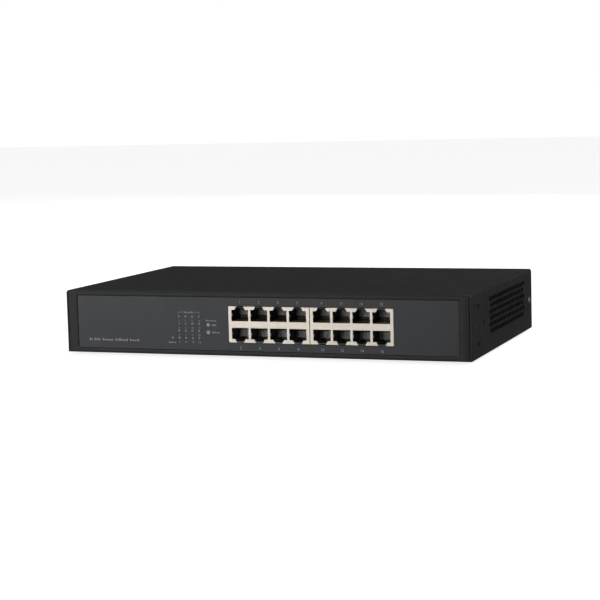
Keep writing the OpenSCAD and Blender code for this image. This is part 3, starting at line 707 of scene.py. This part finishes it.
def add_number(bm, text, x, z, height):
    """Prints a number on the label, centred on (x, z), with digits of that height."""
    data = bpy.data.curves.new("number", "FONT")
    data.body = text
    data.align_x = "CENTER"
    data.align_y = "CENTER"
    digit_share = 0.72
    data.size = height / digit_share
    data.extrude = INK / 2
    data.resolution_u = 3
    piece = bpy.data.objects.new("number", data)
    mesh = bpy.data.meshes.new_from_object(piece)
    turn = Matrix.Rotation(math.radians(90), 4, "X")
    mesh.transform(Matrix.Translation((x, LABEL_LOW.y - INK / 2, z)) @ turn)
    bm.from_mesh(mesh)
    bpy.data.meshes.remove(mesh)
    bpy.data.objects.remove(piece)
    bpy.data.curves.remove(data)


def add_mark(bm, x0, x1, z0, z1):
    add_box(bm, (x0, LABEL_LOW.y - INK, z0), (x1, LABEL_LOW.y, z1))


def add_dashes(bm, x0, x1, z, height, words):
    """A row of plain dashes in place of wording, split into words of the given lengths."""
    space = 1.0
    unit = (x1 - x0) / (sum(words) + space * (len(words) - 1))
    x = x0
    for letters in words:
        for i in range(letters):
            tall = 1.0 if i == 0 else random.choice((0.62, 0.62, 0.7, 0.95))
            add_mark(bm, x + 0.2 * unit, x + 0.7 * unit, z - height / 2,
                     z - height / 2 + height * tall)
            x += unit
        x += space * unit


def make_print():
    """Numbers at the sockets and lights, and plain marks where the wording would be."""
    numbers = bmesh.new()
    above, below, port_digit_h = BOTTOM + 37.1, BOTTOM + 5.5, 1.9
    light_drop, light_digit_h = 2.65, 1.3
    for number, x, _, up in socket_places():
        add_number(numbers, str(number), x, above if up > 0 else below, port_digit_h)
    for column, row, x, z in light_places():
        if column >= 0:
            add_number(numbers, str(column * 4 + 4 - row), x, z - light_drop, light_digit_h)
    finished(mesh_object("panel_numbers", numbers), "label_film", material="print_ink")

    marks = bmesh.new()
    # title, light heading with its bracket, power caption
    title_h, caption_h = 1.7, 1.2
    add_dashes(marks, -130.3, -91.6, BOTTOM + 9.4, title_h, (2, 4, 7, 8, 6))
    left, right = LIGHT_X - 0.4, LIGHT_X + 3 * LIGHT_PITCH + 0.4
    line_z, line = BOTTOM + 29.6, 0.2
    add_mark(marks, left, left + 3.2, line_z - line / 2, line_z + line / 2)
    add_mark(marks, right - 3.2, right, line_z - line / 2, line_z + line / 2)
    add_mark(marks, left, left + line, line_z - 1.2, line_z)
    add_mark(marks, right - line, right, line_z - 1.2, line_z)
    add_dashes(marks, left + 4.1, right - 4.1, line_z, caption_h, (8,))
    add_dashes(marks, -69.0, -63.4, BOTTOM + 8.5, caption_h, (5,))
    # key to the lights: a heading, a steady light and a blinking light
    add_dashes(marks, -40.9, -32.8, BOTTOM + 24.1, caption_h, (7,))
    add_dashes(marks, -36.4, -33.0, BOTTOM + 20.9, caption_h, (4,))
    add_dashes(marks, -36.4, -30.4, BOTTOM + 15.9, caption_h, (7,))
    near = LABEL_LOW.y
    key_x, steady_z, blinking_z, key_r = -39.1, BOTTOM + 21.1, BOTTOM + 15.7, 1.2
    for z in (steady_z, blinking_z):
        add_cylinder(marks, (key_x, near - INK, z), (key_x, near, z), key_r, 24)
    ray_r, ray_half = 1.75, 0.18
    for angle in (30, 60, 90, 120, 150):
        a = math.radians(angle)
        x, z = key_x + ray_r * math.cos(a), blinking_z + ray_r * math.sin(a)
        add_mark(marks, x - ray_half, x + ray_half, z - ray_half, z + ray_half)
    finished(mesh_object("panel_marks", marks), "label_film", material="print_ink")


def make_light_guides():
    """Clear guides that turn from the panel down to the lights, on one carrier plate."""
    low, high = box_mm("light_guide")
    r = LIGHT_D / 2
    sides, turns = 20, 6
    bm = bmesh.new()
    for _, row, x, z in light_places():
        turn_y = FRONT + 7 + 4 * row
        bend = r * 1.05
        path = [(LABEL_LOW.y - 0.12, z, 0, 0.35), (LABEL_LOW.y - 0.09, z, 0, 0.7),
                (LABEL_LOW.y, z, 0, 0.92), (LABEL_LOW.y + 0.12, z, 0, 1.0)]
        for i in range(turns + 1):
            a = math.radians(90 * i / turns)
            path.append((turn_y - bend + bend * math.sin(a), z - bend + bend * math.cos(a),
                         90 * i / turns, 1.0))
        path.append((turn_y, low.z, 90, 1.0))
        rings = []
        for y, height, lean, scale in path:
            a = math.radians(lean)
            rings.append([(x + scale * r * math.cos(math.tau * k / sides),
                           y + scale * r * math.sin(math.tau * k / sides) * math.sin(a),
                           height + scale * r * math.sin(math.tau * k / sides) * math.cos(a))
                          for k in range(sides)])
        add_rings(bm, rings)
    guides = mesh_object("light_guides", bm)
    plate = bmesh.new()
    add_box(plate, (low.x, FRONT + 3.5, LIGHT_Z - 2), (high.x, FRONT + 5, high.z))
    boolean(guides, plate, "UNION")
    soften(guides, 0.1, 2, 50)
    return finished(guides, "light_guide", ["light_guide"])


# ---- sockets ----

def socket_outline(x, z, up):
    """A socket's outline: the body, and a tapered latch notch that runs out past the edge."""
    w, base, fillet, taper, past = SOCKET_W / 2, BAR_H / 2, 0.6, 1.1, 0.2
    top, notch = base + SOCKET_H, NOTCH_W / 2
    half = [(w, base), (w, top), (notch + fillet, top), (notch, top + fillet),
            (notch, top + 1.0), (notch - taper, top + EDGE_H + past)]
    points = half + [(-px, pz) for px, pz in reversed(half)]
    points = [(x + px, z + up * pz) for px, pz in points]
    return points if up > 0 else points[::-1]


def sockets_of(side):
    """The (x, z, up) of the eight sockets in one block."""
    low, high = box_mm(f"jack_shield_{side}")
    return [(x, z, up) for _, x, z, up in socket_places() if low.x < x < high.x]


def make_shield(side):
    """A folded shield with its socket openings, and a pair of side springs in each."""
    low, high = box_mm(f"jack_shield_{side}")
    wall, relief = 0.3, 4.0
    bm = bmesh.new()
    add_box(bm, low, high)
    shield = mesh_object(f"socket_shield_{side}", bm)
    hollow = bmesh.new()
    add_box(hollow, (low.x + wall, low.y + wall, low.z - 1),
            (high.x - wall, high.y - wall, high.z - wall))
    boolean(shield, hollow, "DIFFERENCE")
    openings = bmesh.new()
    for x, z, up in sockets_of(side):
        add_prism(openings, socket_outline(x, z, up), low.y - 1, low.y + relief)
    boolean(shield, openings, "DIFFERENCE")
    soften(shield, 0.11, 3)

    springs = bmesh.new()
    half_h, thick = 0.9, 0.15
    # A spring folds in from the front and runs back: (distance from the middle, depth).
    run = [(6.2, 0.1), (5.98, 0.1), (5.9, 0.2), (5.86, 0.45), (5.86, 1.0), (5.9, 1.8),
           (6.0, 2.4), (6.1, 2.8)]
    for x, z, up in sockets_of(side):
        middle = z + up * (BAR_H / 2 + SOCKET_H * 0.54)
        for sx in (-1, 1):
            rings = [[(x + sx * px, low.y + py, middle - half_h),
                      (x + sx * (px + thick), low.y + py + thick, middle - half_h),
                      (x + sx * (px + thick), low.y + py + thick, middle + half_h),
                      (x + sx * px, low.y + py, middle + half_h)] for px, py in run]
            add_rings(springs, rings)
    pair = soften(mesh_object("springs", springs), 0.05, 1, 60)
    joined = bmesh.new()
    joined.from_mesh(shield.data)
    joined.from_mesh(pair.data)
    joined.to_mesh(shield.data)
    joined.free()
    bpy.data.objects.remove(pair)
    return finished(shield, "shield_steel", [f"jack_shield_{side}"])


def make_combs(side):
    """The slotted guides behind the contacts, at the back of each socket."""
    low, _ = box_mm(f"jack_housing_{side}")
    back = low.y + SOCKET_D - 0.05
    front, groove = back - 1.3, 0.5
    half_w, slot = SOCKET_W / 2 - 0.25, 0.26
    outline = [(-half_w, back), (-half_w, front)]
    for k in range(CONTACTS):
        x = (k - (CONTACTS - 1) / 2) * CONTACT_PITCH
        outline += [(x - slot, front), (x - slot, front + groove),
                    (x + slot, front + groove), (x + slot, front)]
    outline += [(half_w, front), (half_w, back)]
    bm = bmesh.new()
    for x, z, up in sockets_of(side):
        z0 = z + up * (BAR_H / 2 + 2.9)
        z1 = z + up * (BAR_H / 2 + SOCKET_H - 0.15)
        add_rings(bm, [[(x + px, py, level) for px, py in outline] for level in (z0, z1)])
    combs = soften(mesh_object(f"contact_combs_{side}", bm), 0.08, 1, 60)
    return finished(combs, "jack_plastic", material="contact_comb")


# ---- screws and feet ----

def add_screw(bm, place, axis, head_r, head_h, shank_r, shank_l, countersunk=False):
    """A screw at place, its head pointing along axis."""
    if countersunk:
        profile = [(0.01, -shank_l), (shank_r, -shank_l), (shank_r, 0), (head_r, head_h - 0.15),
                   (head_r, head_h), (0.01, head_h)]
    else:
        crown = [(head_r * (1 - 0.35 * (i / 5) ** 2.2), head_h * (0.45 + 0.55 * math.sin(
            math.radians(90 * i / 5)))) for i in range(6)]
        profile = [(0.01, -shank_l), (shank_r, -shank_l), (shank_r, 0), (head_r * 0.97, 0),
                   (head_r, 0.12)] + crown + [(0.01, head_h)]
    turn = Vector(axis).to_track_quat("Z", "Y").to_matrix().to_4x4()
    move = Matrix.Translation(place) @ turn
    rings = [[move @ Vector(p) for p in ring] for ring in lathe(profile)]
    add_rings(bm, rings)


def add_recess(bm, place, axis, length, width, head_h, depth):
    """A cross recess, cut into a screw's head."""
    turn = Vector(axis).to_track_quat("Z", "Y").to_matrix().to_4x4()
    for angle in (20, 110):
        spin = Matrix.Rotation(math.radians(angle), 4, "Z")
        bottom = head_h - depth
        shape = Matrix.Diagonal((length, width, depth + 1, 1))
        bmesh.ops.create_cube(bm, size=1, matrix=Matrix.Translation(place) @ turn @ spin
                              @ Matrix.Translation((0, 0, bottom + (depth + 1) / 2)) @ shape)


def make_screws(name, node, places, axis_of, sizes, material_slot, countersunk=False):
    """The screws of one node: sizes are head radius, head height, shank radius, shank length."""
    head_r, head_h, shank_r, shank_l = sizes
    bm, cuts = bmesh.new(), bmesh.new()
    for place in places:
        axis = axis_of(place)
        add_screw(bm, place, axis, head_r, head_h, shank_r, shank_l, countersunk)
        add_recess(cuts, place, axis, head_r * 1.15, head_r * 0.3, head_h, head_h * 0.6)
    screws = mesh_object(name, bm)
    boolean(screws, cuts, "DIFFERENCE")
    soften(screws, 0.06, 2, 40)
    return finished(screws, material_slot, [node])


def make_all_screws():
    head_r, head_h = (SCREW_HIGH.z - SCREW_LOW.z) / 2, SCREW_HIGH.x - SIDE
    make_screws("side_screws", "cover_screws",
                [(-SIDE, SCREW_Y, SCREW_Z), (SIDE, SCREW_Y, SCREW_Z)],
                lambda p: (math.copysign(1, p[0]), 0, 0), (head_r, head_h, 1.4, 5.0),
                "screw_bright")
    low, high = box_mm("earth_screw")
    make_screws("ground_screw", "earth_screw",
                [((low.x + high.x) / 2, REAR, (low.z + high.z) / 2)],
                lambda p: (0, 1, 0), (3.75, 1.9, 2.0, 6.0), "earth_screw")
    low, high = box_mm("inlet_screws")
    z, x = (low.z + high.z) / 2, (low.x + high.x) / 2
    make_screws("inlet_fixings", "inlet_screws",
                [(x - INLET_SCREW_X, REAR + 0.3, z), (x + INLET_SCREW_X, REAR + 0.3, z)],
                lambda p: (0, 1, 0), (3.2, 1.7, 1.5, 6.3), "screw_black", countersunk=True)


def make_feet():
    low, high = box_mm("rubber_feet")
    r, h = 6.0, high.z
    profile = [(0.01, 0.25), (r - 2.2, 0.25), (r - 1.9, 0.02), (r - 1.3, 0.0), (r - 0.75, 0.06),
               (r - 0.5, 0.3), (r - 0.02, h - 0.15), (r, h), (0.01, h)]
    bm = bmesh.new()
    for x in (low.x + r, high.x - r):
        for y in (low.y + r, high.y - r):
            rings = [[(x + px, y + py, pz) for px, py, pz in ring] for ring in lathe(profile, 40)]
            add_rings(bm, rings)
    feet = mesh_object("feet", bm)
    for face in feet.data.polygons:
        face.use_smooth = True
    return finished(feet, "foot_rubber", ["rubber_feet"])


# ---- CAD nodes that keep their shape ----

def paint_cad_nodes():
    """Every CAD node still shown gets its slot's material."""
    for part in frame["record"]["subparts"]:
        node = frame["nodes"][part["node"]]
        if not node.hide_render:
            node.data.materials.clear()
            node.data.materials.append(MATERIALS[part["material_slot"]])


def soften_inner_parts():
    """Rounded copies of the moulded and cast pieces."""
    widths = {
        "jack_housing_left": 0.12, "jack_housing_right": 0.12, "power_inlet": 0.3,
        "inlet_pins": 0.35, "switch_chip": 0.15, "port_transformers": 0.3,
        "transceiver_chips": 0.12, "memory_chip": 0.15, "clock_crystal": 0.9,
        "regulator_chips": 0.2, "power_inductors": 0.8, "chip_heatsink": 0.15,
        "board_capacitors": 0.5, "bulk_capacitor": 0.7, "output_capacitors": 0.5,
        "line_capacitor": 0.7, "bridge_rectifier": 0.4, "power_transistor": 0.3,
        "power_transformer": 0.5, "line_choke": 0.8, "mains_header": 0.3,
        "mains_plug": 0.4, "dc_headers": 0.3, "dc_plugs": 0.4, "power_heatsink": 0.15,
    }
    slots = {part["node"]: part["material_slot"] for part in frame["record"]["subparts"]}
    for node, width in widths.items():
        finished(softened_copy(node, width), slots[node], [node])


make_camera()
MATERIALS = make_materials()
make_stage()
make_cover()
make_tray()
make_label()
make_print()
make_light_guides()
for block_side in BLOCKS:
    make_shield(block_side)
    make_combs(block_side)
make_all_screws()
make_feet()
soften_inner_parts()
paint_cad_nodes()
